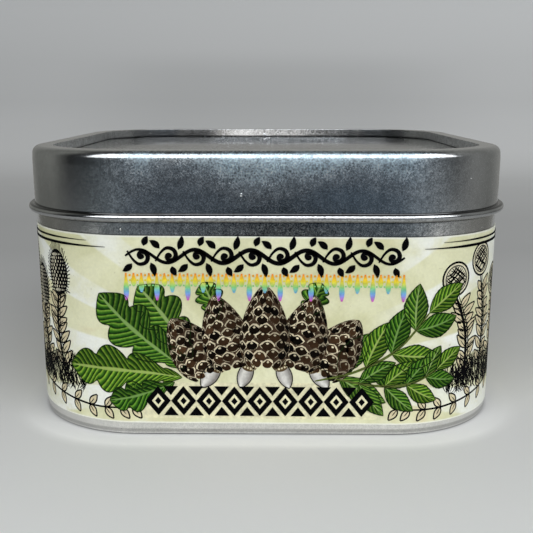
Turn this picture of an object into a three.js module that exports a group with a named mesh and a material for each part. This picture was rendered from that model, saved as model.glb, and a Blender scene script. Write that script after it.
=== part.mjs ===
// A rounded-square tinplate tin: a drawn body, a slip-on lid with a window, and a paper label.
// Millimetres, +Z up, front towards -Y. The origin is on the base plane, at the middle of the tin.
import * as THREE from 'three';

// ---- Driving dimensions ----
const LID_WIDTH = 100;           // across the flats of the lid's skirt, outside
const TOTAL_HEIGHT = 57.1;       // base to the top of the lid's rim
const CORNER_RADIUS = 24.3;      // the skirt's outer corners, seen from above
const SHEET = 0.3;               // tinplate
const CORNER_STEPS = 12;         // facets in each corner

// Lid
const TOP_EDGE_RADIUS = 1.6;     // between the skirt and the rim
const RIM_WIDTH = 4.4;           // from the skirt's outside to the window opening
const OPENING_EDGE_RADIUS = 0.4; // between the rim and the turned-down edge
const OPENING_DEPTH = 2.1;       // from the rim's top to the end of the turned-down edge
const BEAD_RADIUS = 0.78;        // the rolled bead at the foot of the skirt
const BEAD_HEIGHT = 44.38;       // the bead's centre above the base plane

// Body
const SKIRT_TO_BODY = 0.4;       // the body's wall stands this far inside the skirt's outside
const NECK_STEP = 1.1;           // the neck under the lid is set in by this much
const SHOULDER_RADIUS = NECK_STEP / 2;
const SHOULDER_TOP = 45.6;       // height of the shoulder, hidden in the skirt
const RIM_ROLL_RADIUS = 0.6;     // the curled rim of the body
const RIM_TOP = 54.0;
const BOTTOM_EDGE_RADIUS = 0.9;
const BASE_RING_WIDTH = 3.0;     // flat ring that the tin stands on
const PANEL_LIFT = 0.9;          // the base panel inside that ring
const PANEL_SLOPE = 0.8;         // run of the sloped step up to the panel

// Window
const PANE_THICKNESS = 0.3;
const PANE_OVERLAP = 2.4;        // how far the pane reaches under the rim
const STACK_GAP = 0.1;           // between the turned edge, the pane and its ring
const RING_LIP = 1.0;            // the ring's flange shows this far inside the opening
const RING_TO_SKIRT = 0.3;       // between the ring's leg and the skirt's inside
const RING_LEG_TOP = 56.0;

// Label
const LABEL_BOTTOM = 2.1;
const LABEL_TOP = 40.8;
const LABEL_THICKNESS = 0.12;
const LABEL_GAP = 0.05;          // glue line between the paper and the wall
const LAP_WIDTH = 8;             // overlap of the label's ends at the back
const LAP_RAMP = 2;              // run over which the upper end rises onto the lower one

// ---- Derived dimensions ----
const LID_HALF = LID_WIDTH / 2;
const SKIRT_INSIDE = LID_HALF - SHEET;
const OPENING_HALF = LID_HALF - RIM_WIDTH;
const BODY_HALF = LID_HALF - SKIRT_TO_BODY;
const NECK_HALF = BODY_HALF - NECK_STEP;
const OPENING_EDGE_Z = TOTAL_HEIGHT - OPENING_DEPTH;
const PANE_TOP = OPENING_EDGE_Z - STACK_GAP;
const RING_TOP = PANE_TOP - PANE_THICKNESS - STACK_GAP;

// ---- Profiles: lists of [half-width, height], in the plane across a flat wall ----

// Points along a circular arc, both ends included. Angles are in degrees, 0 outwards and 90 up.
function arc(centre, radius, from, to, steps) {
  const points = [];
  for (let i = 0; i <= steps; i += 1) {
    const angle = THREE.MathUtils.degToRad(from + ((to - from) * i) / steps);
    points.push([centre[0] + radius * Math.cos(angle), centre[1] + radius * Math.sin(angle)]);
  }
  return points;
}

// The same path moved sideways by a distance, to its left, with mitred corners.
function offsetPath(path, distance) {
  return path.map((point, i) => {
    const before = path[Math.max(i - 1, 0)];
    const after = path[Math.min(i + 1, path.length - 1)];
    const normals = [];
    for (const [a, b] of [[before, point], [point, after]]) {
      const length = Math.hypot(b[0] - a[0], b[1] - a[1]);
      if (length > 0) normals.push([-(b[1] - a[1]) / length, (b[0] - a[0]) / length]);
    }
    const first = normals[0];
    const last = normals[normals.length - 1];
    const scale = distance / (1 + first[0] * last[0] + first[1] * last[1]);
    return [point[0] + (first[0] + last[0]) * scale, point[1] + (first[1] + last[1]) * scale];
  });
}

// The rounded-square outline of one half-width. All outlines share their corner centres, so sheets
// nested in each other keep the same gap round the corners as along the walls.
function outline(half) {
  const centre = LID_HALF - CORNER_RADIUS;
  const radius = half - centre;
  const points = [];
  for (let corner = 0; corner < 4; corner += 1) {
    const cx = corner === 0 || corner === 3 ? centre : -centre;
    const cy = corner < 2 ? centre : -centre;
    for (const [x, y] of arc([cx, cy], radius, 90 * corner, 90 * corner + 90, CORNER_STEPS)) {
      points.push([x, y]);
    }
  }
  return points;
}

// ---- Solids ----

function solid(name, positions, triangles, material) {
  const geometry = new THREE.BufferGeometry();
  geometry.setAttribute('position', new THREE.Float32BufferAttribute(positions.flat(), 3));
  geometry.setIndex(triangles.flat());
  geometry.computeVertexNormals();
  const mesh = new THREE.Mesh(geometry, material);
  mesh.name = name;
  return mesh;
}

// Sweeps a closed profile round the rounded square. The profile runs anticlockwise, seen with
// outwards to the right and up upwards. A point with half-width 0 is a single point on the axis.
function sweep(name, profile, material) {
  const positions = [];
  const rows = profile.map(([half, z]) => {
    const start = positions.length;
    if (half === 0) {
      positions.push([0, 0, z]);
      return { start, count: 1 };
    }
    const ring = outline(half);
    for (const [x, y] of ring) positions.push([x, y, z]);
    return { start, count: ring.length };
  });
  const triangles = [];
  rows.forEach((lower, i) => {
    const upper = rows[(i + 1) % rows.length];
    const count = Math.max(lower.count, upper.count);
    for (let k = 0; k < count; k += 1) {
      const next = (k + 1) % count;
      const a = lower.start + (k % lower.count);
      const b = lower.start + (next % lower.count);
      const c = upper.start + (next % upper.count);
      const d = upper.start + (k % upper.count);
      if (a !== b) triangles.push([a, b, c]);
      if (c !== d) triangles.push([a, c, d]);
    }
  });
  return solid(name, positions, triangles, material);
}

// ---- Materials ----
const tinplate = { color: 0x8b8f93, metalness: 0.95, roughness: 0.32 };
const bodyMetal = new THREE.MeshStandardMaterial(tinplate);
const lidMetal = new THREE.MeshStandardMaterial(tinplate);
const ringMetal = new THREE.MeshStandardMaterial({ ...tinplate, color: 0x9a9da0, roughness: 0.4 });
const clearSheet = new THREE.MeshStandardMaterial({
  color: 0xe6eaea, metalness: 0, roughness: 0.08, transparent: true, opacity: 0.25,
});
const printedPaper = new THREE.MeshStandardMaterial({ color: 0xd9d4a6, metalness: 0, roughness: 0.7 });

// ---- Pieces ----

// The drawn can: base panel, ring to stand on, wall, shoulder, neck and a rim rolled outwards.
function makeBody() {
  const wallFoot = [BODY_HALF - BOTTOM_EDGE_RADIUS, BOTTOM_EDGE_RADIUS];
  const ringInside = wallFoot[0] - BASE_RING_WIDTH;
  const shoulderHalf = BODY_HALF - SHOULDER_RADIUS;
  const rollCentre = [NECK_HALF - SHEET + RIM_ROLL_RADIUS, RIM_TOP - RIM_ROLL_RADIUS];
  const outside = [
    [0, PANEL_LIFT],
    [ringInside - PANEL_SLOPE, PANEL_LIFT],
    [ringInside, 0],
    ...arc(wallFoot, BOTTOM_EDGE_RADIUS, -90, 0, 5),
    ...arc([shoulderHalf, SHOULDER_TOP - SHOULDER_RADIUS], SHOULDER_RADIUS, 0, 90, 3),
    ...arc([shoulderHalf, SHOULDER_TOP + SHOULDER_RADIUS], SHOULDER_RADIUS, 270, 180, 3).slice(1),
    [NECK_HALF, rollCentre[1]],
  ];
  const inside = offsetPath(outside, SHEET).reverse();
  const rollFrom = -THREE.MathUtils.radToDeg(Math.acos((NECK_HALF - rollCentre[0]) / RIM_ROLL_RADIUS));
  const roll = arc(rollCentre, RIM_ROLL_RADIUS, rollFrom, 180, 9);
  return sweep('tin_body', [...outside.slice(0, -1), ...roll, ...inside.slice(1)], bodyMetal);
}

// The drawn cover: rolled bead, skirt, rim and the turned-down edge of the window opening.
function makeLid() {
  const beadCentre = [SKIRT_INSIDE + BEAD_RADIUS, BEAD_HEIGHT];
  const beadTo = 360 + THREE.MathUtils.radToDeg(Math.acos((LID_HALF - beadCentre[0]) / BEAD_RADIUS));
  const bead = arc(beadCentre, BEAD_RADIUS, 180, beadTo, 12);
  const outside = [
    bead[bead.length - 1],
    ...arc([LID_HALF - TOP_EDGE_RADIUS, TOTAL_HEIGHT - TOP_EDGE_RADIUS], TOP_EDGE_RADIUS, 0, 90, 5),
    ...arc([OPENING_HALF + OPENING_EDGE_RADIUS, TOTAL_HEIGHT - OPENING_EDGE_RADIUS],
      OPENING_EDGE_RADIUS, 90, 180, 3),
    [OPENING_HALF, OPENING_EDGE_Z],
  ];
  const inside = offsetPath(outside, SHEET).reverse();
  return sweep('lid_shell', [...bead.slice(0, -1), ...outside, ...inside.slice(0, -1)], lidMetal);
}

function makePane() {
  const half = OPENING_HALF + PANE_OVERLAP;
  const bottom = PANE_TOP - PANE_THICKNESS;
  return sweep('window_pane', [[0, bottom], [half, bottom], [half, PANE_TOP], [0, PANE_TOP]], clearSheet);
}

// The frame under the pane: a flange that carries the pane and a leg that grips inside the skirt.
function makeRing() {
  const legHalf = SKIRT_INSIDE - RING_TO_SKIRT;
  const bend = 2 * SHEET;
  const outside = [
    [OPENING_HALF - RING_LIP, RING_TOP - SHEET],
    ...arc([legHalf - bend, RING_TOP - SHEET + bend], bend, -90, 0, 3),
    [legHalf, RING_LEG_TOP],
  ];
  return sweep('window_ring', [...outside, ...offsetPath(outside, SHEET).reverse()], ringMetal);
}

// The paper strip. It starts and ends at the middle of the back, where its upper end laps its lower end.
function makeLabel() {
  const start = LAP_WIDTH / 2;
  const rise = LABEL_THICKNESS + LABEL_GAP;
  const strip = (half) => {
    const round = outline(half);
    const toBack = CORNER_STEPS + 1;
    const turned = [...round.slice(toBack), ...round.slice(0, toBack)];
    const lap = [[start + LAP_RAMP, half], [start, half + rise], [-start, half + rise]];
    return [[start, half], ...turned, ...lap];
  };
  const inner = strip(BODY_HALF + LABEL_GAP);
  const outer = strip(BODY_HALF + LABEL_GAP + LABEL_THICKNESS);
  const positions = [];
  inner.forEach(([x, y], i) => {
    positions.push([x, y, LABEL_BOTTOM], [outer[i][0], outer[i][1], LABEL_BOTTOM]);
    positions.push([outer[i][0], outer[i][1], LABEL_TOP], [x, y, LABEL_TOP]);
  });
  const triangles = [[0, 1, 2], [0, 2, 3]];
  for (let i = 0; i + 1 < inner.length; i += 1) {
    for (let side = 0; side < 4; side += 1) {
      const a = 4 * i + side;
      const b = 4 * i + ((side + 1) % 4);
      triangles.push([a, b + 4, b], [a, a + 4, b + 4]);
    }
  }
  const last = 4 * (inner.length - 1);
  triangles.push([last, last + 2, last + 1], [last, last + 3, last + 2]);
  return solid('label', positions, triangles, printedPaper);
}

const tin = new THREE.Group();
tin.add(makeBody(), makeLid(), makePane(), makeRing(), makeLabel());

export default tin;
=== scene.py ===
import math
import random
from math import cos, pi, sin

import bpy
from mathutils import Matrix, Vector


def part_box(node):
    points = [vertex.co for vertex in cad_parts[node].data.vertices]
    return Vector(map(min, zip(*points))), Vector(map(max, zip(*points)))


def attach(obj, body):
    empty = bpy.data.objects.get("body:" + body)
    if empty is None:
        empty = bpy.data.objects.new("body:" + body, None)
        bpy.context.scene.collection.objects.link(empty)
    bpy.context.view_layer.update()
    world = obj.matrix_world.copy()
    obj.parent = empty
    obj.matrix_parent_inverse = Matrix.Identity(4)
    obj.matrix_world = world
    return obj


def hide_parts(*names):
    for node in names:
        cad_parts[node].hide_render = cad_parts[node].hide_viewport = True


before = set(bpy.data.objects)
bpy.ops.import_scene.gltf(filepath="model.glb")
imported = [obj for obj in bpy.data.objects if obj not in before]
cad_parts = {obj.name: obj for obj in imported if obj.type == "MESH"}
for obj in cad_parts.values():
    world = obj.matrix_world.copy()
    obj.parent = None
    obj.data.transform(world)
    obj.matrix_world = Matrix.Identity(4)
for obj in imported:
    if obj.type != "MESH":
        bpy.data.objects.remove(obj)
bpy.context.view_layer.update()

SCENE = bpy.context.scene
MM = 0.001
BODY = "root"
SEED = 11

# ---- Sizes, from the frame where it holds them, in metres ----
LID_LOW, LID_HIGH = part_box("lid_shell")
CAN_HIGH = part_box("tin_body")[1]
LABEL_LOW, LABEL_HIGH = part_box("label")
LABEL_TALL = (LABEL_HIGH.z - LABEL_LOW.z) / MM      # in mm, as the print is
PANE_LOW, PANE_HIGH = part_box("window_pane")
RING_LOW, RING_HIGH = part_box("window_ring")

SHEET = 0.3 * MM
CORNER_RADIUS = 24.3 * MM
BEAD_RADIUS = 0.78 * MM
CREASE_RADIUS = 0.12 * MM      # where the skirt turns out into its bead
SKIRT_INSIDE = LID_HIGH.x - 2 * BEAD_RADIUS
LID_HALF = SKIRT_INSIDE + SHEET
CORNER_CENTRE = LID_HALF - CORNER_RADIUS
WALL = 2 * CORNER_CENTRE
TOP_EDGE_RADIUS = 1.6 * MM
EASE_RADIUS, EASE_ANGLE = 18 * MM, 5        # the skirt leans in a little before it turns over the top
OPENING_HALF = LID_HALF - 4.4 * MM
OPENING_EDGE_RADIUS = 0.12 * MM
WELL_REACH, WELL_FOOT = OPENING_HALF - CORNER_CENTRE, LID_HIGH.z - 2.1 * MM       # of its turned-down edge
RING_LIP = 1 * MM              # how much of the ring shows inside the opening
OPENING_FLARE = 0.13 * MM, 2 * MM      # how far the turned-down edge flares, over which height
NECK_STEP = 1.1 * MM
SHOULDER_TOP = 45.6 * MM
ROLL_RADIUS = 0.6 * MM
BOTTOM_EDGE_RADIUS = 0.35 * MM
BASE_RING_WIDTH = 3 * MM
PANEL_LIFT = 0.9 * MM
PANEL_SLOPE = 0.8 * MM
LABEL_THICKNESS = 0.12 * MM
LABEL_GAP = 0.05 * MM
LAP_HALF = 4 * MM
LAP_RAMP = 2 * MM
LABEL_TRIM = 0.32 * MM, 0.08 * MM      # at its foot and its top
LABEL_TILT = 0.0055            # the label went on a third of a degree out of level
HOLD = 0.12 * MM               # how near a long run's ends its extra points lie
CORNER_STEPS, WALL_STEPS = 36, 12
SHARP_ANGLE = 30


# ---- Points: profiles are lists of (half-width, height) across a flat wall ----

def blend(a, b, part):
    return tuple(x + (y - x) * part for x, y in zip(a, b))


def spin(point, centre, degrees):
    """A point given from a centre, turned about it."""
    turn = math.radians(degrees)
    x, y = point
    return centre[0] + x * cos(turn) - y * sin(turn), centre[1] + x * sin(turn) + y * cos(turn)


def arc(centre, radius, start, end, steps):
    """Points on a circular arc, angles in degrees, 0 outwards and 90 up."""
    return [spin((radius, 0), centre, start + (end - start) * i / steps) for i in range(steps + 1)]


def offset_path(path, distance):
    """The path moved to its left by a distance, with mitred corners."""
    normals = []
    for a, b in zip(path, path[1:]):
        length = math.dist(a, b)
        normals.append(((a[1] - b[1]) / length, (b[0] - a[0]) / length))
    moved = []
    for (x, y), first, last in zip(path, normals[:1] + normals, normals + normals[-1:]):
        scale = distance / (1 + first[0] * last[0] + first[1] * last[1])
        moved.append((x + (first[0] + last[0]) * scale, y + (first[1] + last[1]) * scale))
    return moved


def outline(half):
    """The rounded square of one half-width, anticlockwise from the +X wall's end."""
    side = arc((CORNER_CENTRE, CORNER_CENTRE), half - CORNER_CENTRE, 0, 90, CORNER_STEPS)
    side += [(CORNER_CENTRE - WALL * i / WALL_STEPS, half) for i in range(1, WALL_STEPS)]
    points = []
    for _ in range(4):
        points += side
        side = [(-y, x) for x, y in side]
    return points


# ---- Mesh helpers ----

def new_piece(name, vertices, faces, material):
    """A new smooth mesh object in the scene."""
    mesh = bpy.data.meshes.new(name)
    mesh.from_pydata(vertices, [], faces)
    mesh.validate()
    mesh.shade_smooth()
    mesh.materials.append(material)
    piece = bpy.data.objects.new(name, mesh)
    SCENE.collection.objects.link(piece)
    return piece


def add_mesh(name, vertices, faces, material):
    """A new piece that rides with the tin, its sharper edges kept sharp in shading."""
    piece = new_piece(name, vertices, faces, material)
    piece.data.set_sharp_from_angle(angle=math.radians(SHARP_ANGLE))
    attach(piece, BODY)
    return piece


def held(profile):
    """The closed profile with points near the ends of its long runs, to keep those runs flat in shading."""
    path = []
    for a, b in zip(profile, profile[1:] + profile[:1]):
        path.append(a)
        long = math.dist(a, b)
        if long > 5 * HOLD:
            for part in (HOLD / long, 1 - HOLD / long):
                point = blend(a, b, part)
                if point[0] > CORNER_CENTRE + HOLD:
                    path.append(point)
    return path


def swept(name, profile, material):
    """A closed profile swept round the rounded square. A half-width of 0 is one point on the axis."""
    vertices, rows = [], []
    for half, z in held(profile):
        loop = [(0, 0)] if half == 0 else outline(half)
        rows.append((len(vertices), len(loop)))
        vertices += [(x, y, z) for x, y in loop]
    faces = []
    for i, (low, low_count) in enumerate(rows):
        high, high_count = rows[(i + 1) % len(rows)]
        for k in range(max(low_count, high_count)):
            n = k + 1
            lower = [low + k % low_count, low + n % low_count]
            upper = [high + n % high_count, high + k % high_count]
            face = list(dict.fromkeys(lower + upper))
            if len(face) > 2:
                faces.append(face)
    return add_mesh(name, vertices, faces, material)


# ---- Materials ----

class Nodes:
    """Short calls for building the node tree of a new material, or of a given owner."""

    def __init__(self, name="", owner=None, coords="Object"):
        self.owner = owner or bpy.data.materials.new(name)
        self.owner.use_nodes = True
        self.tree = self.owner.node_tree
        self.at = self.add("TexCoord").outputs[coords]

    def set(self, socket, value):
        if isinstance(value, bpy.types.NodeSocket):
            self.tree.links.new(value, socket)
        else:
            socket.default_value = value

    def fill(self, node, inputs):
        """Give a node its inputs by number, or by name with _ for a space."""
        for key, value in inputs.items():
            self.set(node.inputs[key.replace("_", " ") if isinstance(key, str) else key], value)
        return node

    def add(self, kind, settings=None, **inputs):
        node = self.tree.nodes.new("ShaderNode" + kind)
        for key, value in (settings or {}).items():
            setattr(node, key, value)
        return self.fill(node, inputs)

    def finish(self, **inputs):
        self.fill(self.tree.nodes["Principled BSDF"], inputs)
        return self.owner

    def split(self, vector=None):
        return self.add("SeparateXYZ", Vector=vector or self.at).outputs

    def printed(self):
        """The two coordinates of the print's own map."""
        return self.split(self.add("UVMap", {"uv_map": "print"}).outputs[0])[:2]

    def tone(self):
        """The piece's own printed colour."""
        return self.add("Attribute", {"attribute_name": "tone"}).outputs["Color"]

    def noise(self, scale, detail, roughness=0.5, distortion=0, at=None):
        return self.add("TexNoise", Vector=at or self.at, Scale=scale, Detail=detail,
                        Roughness=roughness, Distortion=distortion).outputs["Fac"]

    def map(self, value, low, high, to_low, to_high, kind="LINEAR"):
        node = self.add("MapRange", {"interpolation_type": kind}, Value=value, From_Min=low,
                        From_Max=high, To_Min=to_low, To_Max=to_high)
        return node.outputs["Result"]

    def ease(self, *values):
        """The same with soft ends."""
        return self.map(*values, kind="SMOOTHSTEP")

    def spread(self, noise, to_low, to_high):
        """A noise, most of which lies from 0.3 to 0.7, brought to a new range."""
        return self.map(noise, 0.3, 0.7, to_low, to_high)

    def ramp(self, value, stops):
        """A colour from a list of (place, colour), the first at 0 and the last at 1."""
        node = self.add("ValToRGB", Fac=value)
        bar = node.color_ramp.elements
        for place, _ in stops[1:-1]:
            bar.new(place)
        for stop, (_, colour) in zip(bar, stops):
            stop.color = colour
        return node.outputs["Color"]

    def math(self, operation, a, b=0):
        return self.fill(self.add("Math", {"operation": operation}), {0: a, 1: b}).outputs[0]

    def times(self, product, *others):
        for value in others:
            product = self.math("MULTIPLY", product, value)
        return product

    def plus(self, a, b):
        return self.math("ADD", a, b)

    def apart(self, a, b):
        """How far two values are from each other."""
        return self.math("ABSOLUTE", self.math("SUBTRACT", a, b))

    def vector(self, operation, a, b=(0, 0, 0)):
        node = self.fill(self.add("VectorMath", {"operation": operation}), {0: a, 1: b})
        return node.outputs["Value" if operation == "LENGTH" else "Vector"]

    def reach(self):
        """Distance outwards from the square of the corner centres, in plan."""
        over = self.vector("SUBTRACT", self.vector("ABSOLUTE", self.at), (CORNER_CENTRE, CORNER_CENTRE, 9))
        return self.vector("LENGTH", self.vector("MAXIMUM", over))

    def grey(self, value):
        return self.add("CombineColor", Red=value, Green=value, Blue=value).outputs[0]

    def mix(self, factor, a, b, blend="MIX"):
        node = self.add("Mix", {"data_type": "RGBA", "blend_type": blend})
        return self.fill(node, {0: factor, 6: a, 7: b}).outputs[2]

    def tinted(self, a, b):
        """The product of two colours."""
        return self.mix(1, a, b, "MULTIPLY")

    def shaded(self, colour, amount):
        """A colour times a grey."""
        return self.tinted(colour, self.grey(amount))

    def bump(self, height, distance, **under):
        return self.add("Bump", Height=height, Distance=distance, **under).outputs["Normal"]


# Distances from a wall's middle over which the grain and the frost give way towards its corners.
GRAIN_SIDES = 28 * MM, 40 * MM
FROST_SIDES = 25 * MM, 35 * MM
GRAIN_FOOT = 3 * MM, 20 * MM       # heights over which the grain grows from the foot up
GRAIN_TOP = 54 * MM, 55.4 * MM     # heights over which the frost's coarse grain ends, at the lid's top edge
FROST_HEIGHTS = 46.5 * MM, 58 * MM
FROST_LOBE, FROST_SWING = 31 * MM, 1.5 * MM      # the frost's lower edge runs in waves
FROST_OUTSIDE = CORNER_RADIUS - 1.6 * MM, CORNER_RADIUS - 0.4 * MM
FROST_PLACE = (0.93, 0, 0.2)     # which part of the endless noise lies on the lid
# Painted reflection: a blue cast, as of the cool room, on the metal where the frost lies.
FROST_PAINTED_REFLECTION = (0.62, 0.76, 0.85, 1)


def frost_mask(n, aside):
    """Where the frost lies: outside and high up, in clouds, in the middle of each wall."""
    x, _, z = n.split()
    lobes = n.math("COSINE", n.times(x, 2 * pi / FROST_LOBE))
    high = n.ease(n.plus(z, n.times(lobes, FROST_SWING)), *FROST_HEIGHTS, 0, 1)
    outside = n.ease(n.reach(), *FROST_OUTSIDE, 0, 1)
    cloud = n.map(n.noise(42, 5, 0.65, 0.3, n.vector("ADD", n.at, FROST_PLACE)), 0.3, 0.66, 0.2, 1)
    return n.math("POWER", n.times(high, outside, cloud, n.ease(aside, *FROST_SIDES, 1, 0.08)), 0.85)


def well_shade(n):
    """How dull the opening's turned-down edge is at its sides, and its painted shade: at its foot, deepest
    at the back, and in its far corners.
    """
    x, y, z = n.split()
    inner = n.map(n.reach(), WELL_REACH - 0.05 * MM, WELL_REACH + 0.1 * MM, 1, 0)
    aside = n.ease(n.apart(x, 3 * MM), 16 * MM, 23 * MM, 0, 1)
    dull = n.times(inner, aside, n.ease(y, 30 * MM, 44 * MM, 0.3, 0.1))
    deep = n.ease(z, WELL_FOOT, WELL_FOOT + 0.5 * MM, n.map(y, 26 * MM, 40 * MM, 0.75, 0.2), 1)
    corner = n.times(aside, n.ease(y, 34 * MM, 44 * MM, 0, 0.72))
    deep = n.times(deep, n.math("SUBTRACT", 1, corner))
    return dull, n.map(inner, 0, 1, 1, deep)


def tinplate(name, tint, rough, painted_shade=(), frost=0):
    """Drawn tinplate: a fine pebbled grain in soft blotches, smudges, a slight waviness and a few nicks.
    The fourth argument lists lines of painted shade, in gaps, creases and at the foot: height, half-width,
    how dark, and a tilt along x. Frost, which is for the lid, is how much rougher it makes the outside
    towards the top. Where the frost lies, the colour takes a painted blue reflection tint, and the
    opening's turned-down edge gets painted shade."""
    n = Nodes(name)
    x, y, z = n.split()
    aside = n.math("MINIMUM", n.apart(x, 2 * MM), n.math("ABSOLUTE", y))
    speckle = n.noise(2600, 2, 0.6)
    blotch = n.noise(850, 2, 0.6)
    smudge = n.noise(130, 3, 0.6)
    wave = n.noise(28, 1)
    nick = n.map(n.noise(520, 1), 0.765, 0.8, 0, 1)
    grain = n.plus(n.spread(speckle, -1, 1), n.spread(blotch, -0.5, 0.5))
    grain = n.times(grain, n.ease(aside, *GRAIN_SIDES, 1, 0.2), n.map(z, *GRAIN_FOOT, 0.35, 1))
    shade = n.times(n.map(grain, -1.2, 1.2, 0.55, 1.35), n.spread(smudge, 0.93, 1.03))
    roughness = n.plus(rough, n.map(grain, -1, 1, -0.035, 0.035))
    # Darken the colour along each line of painted shade.
    for height, half, dark, tilt in painted_shade:
        off = n.apart(n.plus(z, n.times(x, tilt)), height)
        shade = n.times(shade, n.ease(off, half * 0.5, half * 1.5, dark, 1))
    if frost:
        high = frost_mask(n, aside)
        roughness = n.plus(roughness, n.times(high, frost))
        # Painted reflection: the frosted metal takes a blue cast.
        tint = n.mix(n.map(high, 0.2, 0.7, 0, 1), tint, FROST_PAINTED_REFLECTION)
        coarse = n.times(grain, high, n.ease(z, *GRAIN_TOP, 1, 0.2))
        # The opening's turned-down edge: duller at the sides, with painted shade at its foot and in its far
        # corners.
        dull, dark = well_shade(n)
        roughness = n.plus(roughness, dull)
        shade = n.times(shade, n.map(coarse, -1, 1, 0.6, 1.4), dark)
    bumps = n.bump(nick, 0.00006, Normal=n.bump(speckle, 0.000007))
    return n.finish(Base_Color=n.shaded(tint, shade), Metallic=1, Roughness=roughness,
                    Normal=n.bump(wave, 0.00045, Normal=bumps))


def clear_film(name):
    """Clear plastic, slightly wavy and dusty."""
    n = Nodes(name)
    dust = n.map(n.noise(1500, 2), 0.4, 0.7, 0.04, 0.16)
    return n.finish(Base_Color=(0.93, 0.95, 0.95, 1), Roughness=dust, IOR=1.5, Transmission_Weight=1,
                    Normal=n.bump(n.noise(30, 2), 0.0002))


FIBRE_SCALE = 1800
RAY_MIDDLE, RAY_COUNT = 13, 21      # their middle, in mm above the label's foot, and their count
PAPER_LIGHT, PAPER_DARK = (0.81, 0.8, 0.545, 1), (0.66, 0.65, 0.385, 1)
PAPER_TAN, PAPER_FLECK = (0.72, 0.63, 0.39, 1), (0.32, 0.27, 0.14, 1)
PAPER_RAY, PAPER_EDGE_AND_HIGHLIGHT = (0.89, 0.9, 0.82, 1), (0.9, 0.9, 0.81, 1)


def paper(name):
    """Aged cream paper, stained in clouds, with pale rays at its sides and white cut edges,
    whose white runs onto the face beside them as a painted highlight.
    """
    n = Nodes(name)
    s, t = n.printed()
    turn = n.math("ARCTAN2", n.math("SUBTRACT", t, RAY_MIDDLE), s)
    rays = n.ease(n.math("SINE", n.times(turn, RAY_COUNT)), 0, 0.35, 0, 1)
    sides = n.ease(n.math("ABSOLUTE", s), 20, 34, 0, 1)
    worn = n.map(n.noise(110, 4, 0.65, 0.5), 0.34, 0.56, 0.25, 1)
    stain = n.ease(n.noise(75, 5, 0.62, 0.6), 0.33, 0.67, 0, 1)
    tan = n.ease(n.noise(48, 4, 0.6, 1), 0.54, 0.74, 0, 0.75)
    fleck = n.map(n.noise(800, 3, 0.7), 0.68, 0.75, 0, 0.35)
    fibre = n.noise(FIBRE_SCALE, 2)
    # The cut edges' own white, run about 0.4 mm onto the face as a painted highlight.
    edge = n.map(n.math("MINIMUM", t, n.math("SUBTRACT", LABEL_TALL, t)), 0.15, 0.4, 0.8, 0)
    colour = n.mix(stain, PAPER_DARK, PAPER_LIGHT)
    for amount, over in ((tan, PAPER_TAN), (n.times(rays, sides, worn), PAPER_RAY),
                         (fleck, PAPER_FLECK), (edge, PAPER_EDGE_AND_HIGHLIGHT)):
        colour = n.mix(amount, colour, over)
    colour = n.shaded(colour, n.spread(fibre, 0.96, 1.03))
    return n.finish(Base_Color=colour, Roughness=n.spread(fibre, 0.5, 0.62),
                    Normal=n.bump(fibre, 0.00001), Specular_IOR_Level=0.3)


def plain_ink(name):
    """Flat printed colour from the piece's own tones, a little starved and mottled."""
    n = Nodes(name)
    mottle = n.map(n.noise(1100, 3, 0.6), 0.3, 0.75, 0.82, 1.25)
    fibre = n.noise(FIBRE_SCALE, 2)
    return n.finish(Base_Color=n.shaded(n.tone(), mottle), Roughness=n.spread(fibre, 0.6, 0.75),
                    Normal=n.bump(fibre, 0.000008), Specular_IOR_Level=0.03)


VEIN_STEP, VEIN_SLANT = 1.15, 2.1       # mm between side veins, and how far they run forward
LEAF_BAND = ((0, (0.004, 0.014, 0.003, 1)), (0.2, (0.012, 0.05, 0.006, 1)), (0.5, (0.04, 0.13, 0.012, 1)),
             (0.85, (0.2, 0.36, 0.045, 1)), (1, (0.01, 0.03, 0.004, 1)))      # from one vein to the next
MIDRIB = (0.26, 0.38, 0.12, 1)


def leaf_ink(name):
    """Engraved leaves: bright bands between dark side veins, a pale midrib and one darker half."""
    n = Nodes(name)
    along, across = n.printed()
    out = n.apart(n.times(across, 2), 1)
    slant = n.math("SUBTRACT", along, n.times(out, VEIN_SLANT))
    slant = n.plus(slant, n.map(n.noise(300, 1), 0, 1, -0.25, 0.25))
    blade = n.ramp(n.math("FRACT", n.math("DIVIDE", slant, VEIN_STEP)), LEAF_BAND)
    grain = n.spread(n.noise(1500, 3, 0.65), 0.7, 1.35)
    colour = n.shaded(blade, n.times(n.map(across, 0.46, 0.54, 0.62, 1.1), grain))
    colour = n.mix(n.map(out, 0.05, 0.1, 1, 0), colour, MIDRIB)
    return n.finish(Base_Color=n.tinted(colour, n.tone()), Roughness=n.map(grain, 0.75, 1.25, 0.5, 0.6),
                    Normal=n.bump(n.noise(FIBRE_SCALE, 2), 0.000008), Specular_IOR_Level=0.05)


# Lines of painted shade. On the can: under the lid's bead, low on the bottom edge's curve, at the foot, and
# along the label's top edge. On the lid: in the bead's crease, over its lower half and at its foot.
CAN_PAINTED_SHADE = ((LID_LOW.z - 0.1 * MM, 0.25 * MM, 0.15, 0), (0.85 * MM, 0.36 * MM, 0.62, 0),
            (0, 0.15 * MM, 0.3, 0), (LABEL_HIGH.z + 0.02 * MM, 0.12 * MM, 0.5, LABEL_TILT))
LID_PAINTED_SHADE = ((LID_LOW.z + 1.9 * BEAD_RADIUS, 0.18 * MM, 0.1, 0),
            (LID_LOW.z + 0.58 * BEAD_RADIUS, 0.4 * MM, 0.5, 0), (LID_LOW.z, 0.22 * MM, 0.4, 0))
CAN_METAL = tinplate("can_tinplate", (0.79, 0.78, 0.757, 1), 0.14, CAN_PAINTED_SHADE)
LID_METAL = tinplate("lid_tinplate", (0.74, 0.75, 0.76, 1), 0.12, LID_PAINTED_SHADE, frost=0.31)
RING_METAL = tinplate("ring_tinplate", (0.72, 0.73, 0.74, 1), 0.25)
FILM = clear_film("clear_film")
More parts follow.
